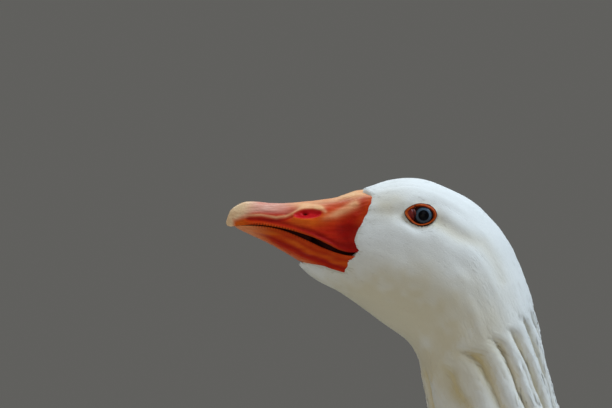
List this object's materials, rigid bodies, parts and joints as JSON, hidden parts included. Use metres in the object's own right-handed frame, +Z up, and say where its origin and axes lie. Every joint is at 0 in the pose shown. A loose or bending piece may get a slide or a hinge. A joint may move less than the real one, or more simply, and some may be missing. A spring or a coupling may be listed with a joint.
{
  "type": "domestic goose model",
  "caption": "Life-size standing white domestic goose, neck upright and head raised, orange-red bill and legs, webbed feet flat on the floor.",
  "frame": {"origin": "on the floor, under the centre of the bird's bounding box", "axes": "+Z up, the bird faces -Y, its left side is +X"},
  "size_m": [0.2778, 0.6793, 0.8596],
  "materials": {
    "white_plumage": "soft matte white contour feathers, faintly warm in the furrows",
    "orange_bill": "satin orange-red horn skin, paler along the ridge, cream nail at the tip",
    "orange_lid": "bare orange lid skin",
    "blue_eye": "wet gloss, blue-grey iris with a black pupil",
    "orange_leg": "satin scaly skin",
    "pale_claw": "satin horn"
  },
  "bodies": {
    "root": {"head": "white_plumage", "neck_upper": "white_plumage", "neck_lower": "white_plumage", "trunk": "white_plumage", "tail": "white_plumage", "bill_upper": "orange_bill", "bill_lower": "orange_bill", "wing_left": "white_plumage", "thigh_left": "white_plumage", "shank_left": "orange_leg", "foot_left": "orange_leg", "hind_toe_left": "orange_leg", "lid_left": "orange_lid", "eye_left": "blue_eye", "claw_inner_left": "pale_claw", "claw_middle_left": "pale_claw", "claw_outer_left": "pale_claw", "claw_hind_left": "pale_claw", "wing_right": "white_plumage", "thigh_right": "white_plumage", "shank_right": "orange_leg", "foot_right": "orange_leg", "hind_toe_right": "orange_leg", "lid_right": "orange_lid", "eye_right": "blue_eye", "claw_inner_right": "pale_claw", "claw_middle_right": "pale_claw", "claw_outer_right": "pale_claw", "claw_hind_right": "pale_claw"}
  },
  "joints": []
}
